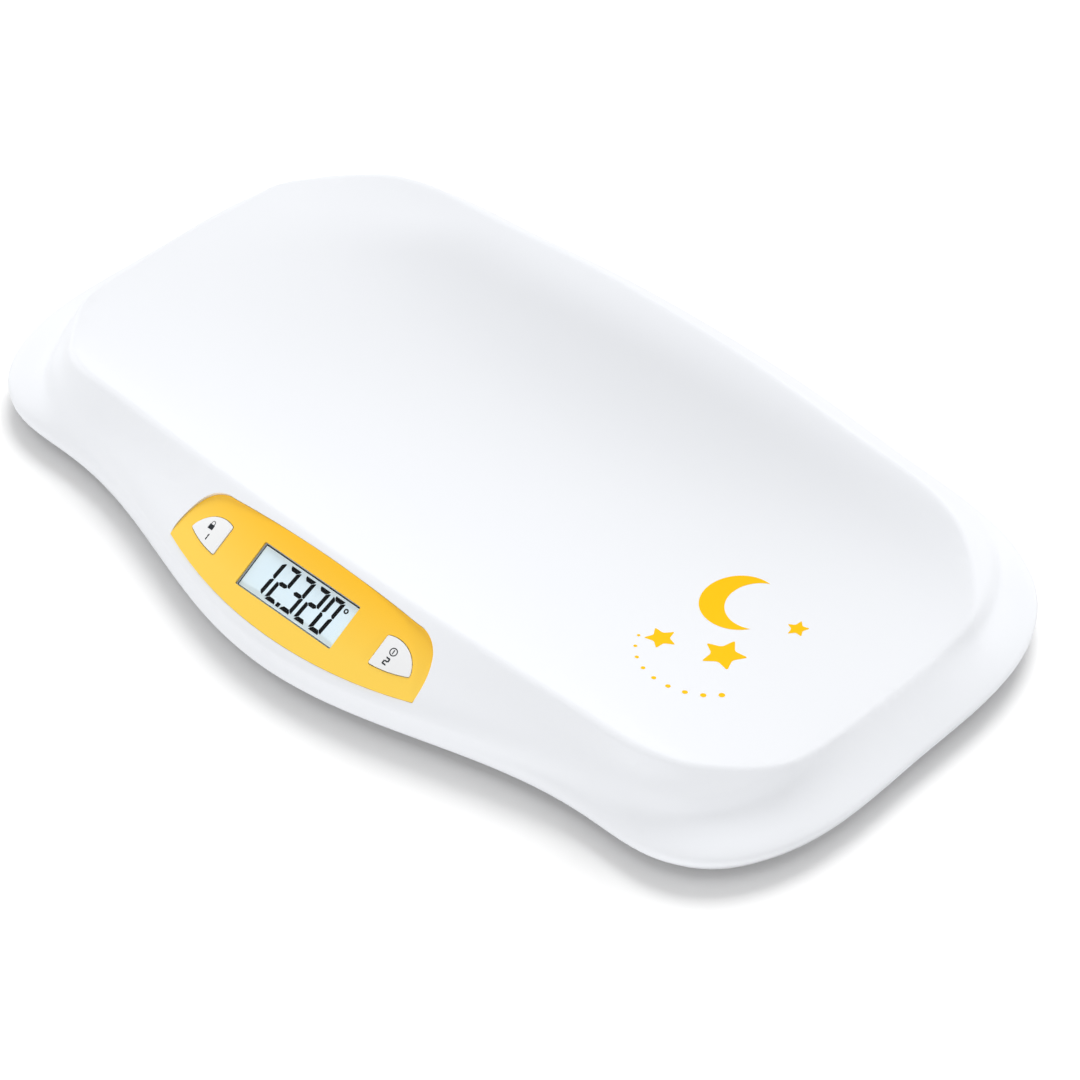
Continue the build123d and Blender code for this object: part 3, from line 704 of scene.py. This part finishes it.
symbol(padlock() + number("1"), "padlock_symbol", "hold_button", "hold_button")
symbol(switch_mark() + number("2"), "switch_symbol", "tare_button", "tare_button")


# ---------------------------------------------------------------- moon and stars printed on the tray
def tray_print():
    ink = screen_ink("yellow_ink", "#FFC802")
    drawing = [("print_moon", crescent(*MOON), place_at(*MOON_PLACE))]
    for name, radius, place in STARS:
        drawing.append((name, star(radius), place_at(*place)))
    x, y, reach = DOT_ARC
    for i in range(DOTS):
        turn = radians(DOTS_FROM + DOT_STEP * i)
        spot = place_at((x + reach * cos(turn)) * MM, (y + reach * sin(turn)) * MM)
        drawing.append((f"print_dot_{i}", disc((SMALLEST_DOT + DOT_GROWTH * i) * MM), spot))
    above = Matrix.Translation((0, 0, PRINT_FROM_Z))
    for name, shape, matrix in drawing:
        bmesh.ops.transform(shape, matrix=above @ matrix, verts=shape.verts)
        triangulated(shape)
        cut_fine(shape, PRINT_FACET, 1)
        lay_on(shape, tray_surface, Vector((0, 0, -1)), PRINT_LIFT)
        inked(shape, name, ink, "housing")


tray_print()


# ---------------------------------------------------------------- floor, light and camera
COLOUR_A, COLOUR_B, COLOUR_RESULT = 6, 7, 2  # sockets of a Mix node that mixes colours


def pale_floor():
    material, tree, shader = new_material("pale_floor", Roughness=0.9)
    seen = node(tree, "ShaderNodeLightPath").outputs["Is Camera Ray"]
    tone = node(
        tree, "ShaderNodeMix",
        {"Factor": seen, COLOUR_A: colour("#E8E8E8"), COLOUR_B: colour("#FFFFFF")}, data_type="RGBA",
    )
    tree.links.new(tone.outputs[COLOUR_RESULT], shader.inputs["Base Color"])
    lift = node(tree, "ShaderNodeMath", {0: seen, 1: FLOOR_GLOW}, operation="MULTIPLY")
    tree.links.new(lift.outputs[0], shader.inputs["Emission Strength"])
    shader.inputs["Emission Color"].default_value = colour("#FFFFFF")
    shader.inputs["Specular IOR Level"].default_value = 0.0
    shape = bmesh.new()
    bmesh.ops.create_grid(shape, x_segments=1, y_segments=1, size=FLOOR_HALF_SIZE)
    mesh = bpy.data.meshes.new("floor")
    shape.to_mesh(mesh)
    shape.free()
    mesh.materials.append(material)
    floor = bpy.data.objects.new("floor", mesh)
    bpy.context.scene.collection.objects.link(floor)


def soft_sky():
    world = bpy.data.worlds.new("soft_sky")
    bpy.context.scene.world = world
    world.use_nodes = True
    tree = world.node_tree
    path = node(tree, "ShaderNodeLightPath")
    seen = node(
        tree, "ShaderNodeMath",
        {0: path.outputs["Is Camera Ray"], 1: path.outputs["Is Glossy Ray"]}, operation="MAXIMUM",
    )
    clear = node(
        tree, "ShaderNodeMath",
        {0: seen.outputs[0], 1: path.outputs["Is Transmission Ray"]}, operation="MAXIMUM",
    )
    level = node(tree, "ShaderNodeMapRange", {"Value": clear.outputs[0], "To Min": SKY, "To Max": 1.0})
    background = tree.nodes["Background"]
    background.inputs["Color"].default_value = colour("#FFFFFF")
    tree.links.new(level.outputs["Result"], background.inputs["Strength"])


def soft_suns():
    """Suns of strength pi times their share: one of strength pi lights white that faces it fully."""
    for name, share, azimuth, elevation, softness in SUNS:
        lamp = bpy.data.lights.new(name, "SUN")
        lamp.energy = share * pi
        lamp.angle = radians(softness)
        sun = bpy.data.objects.new(name, lamp)
        sun.rotation_euler = (radians(90 - elevation), 0, radians(azimuth))
        sun.visible_glossy = False
        bpy.context.scene.collection.objects.link(sun)


def viewing_camera():
    lens = bpy.data.cameras.new("viewing_camera")
    lens.lens = CAMERA_LENS
    lens.clip_end = CAMERA_CLIP
    camera = bpy.data.objects.new("viewing_camera", lens)
    camera.rotation_euler = (radians(90 - CAMERA_ELEVATION), 0, radians(CAMERA_AZIMUTH))
    back = camera.rotation_euler.to_matrix() @ Vector((0, 0, 1))
    camera.location = CAMERA_TARGET + back * CAMERA_DISTANCE
    bpy.context.scene.collection.objects.link(camera)
    bpy.context.scene.camera = camera


pale_floor()
soft_sky()
soft_suns()
viewing_camera()
bpy.context.scene.view_settings.view_transform = "Standard"
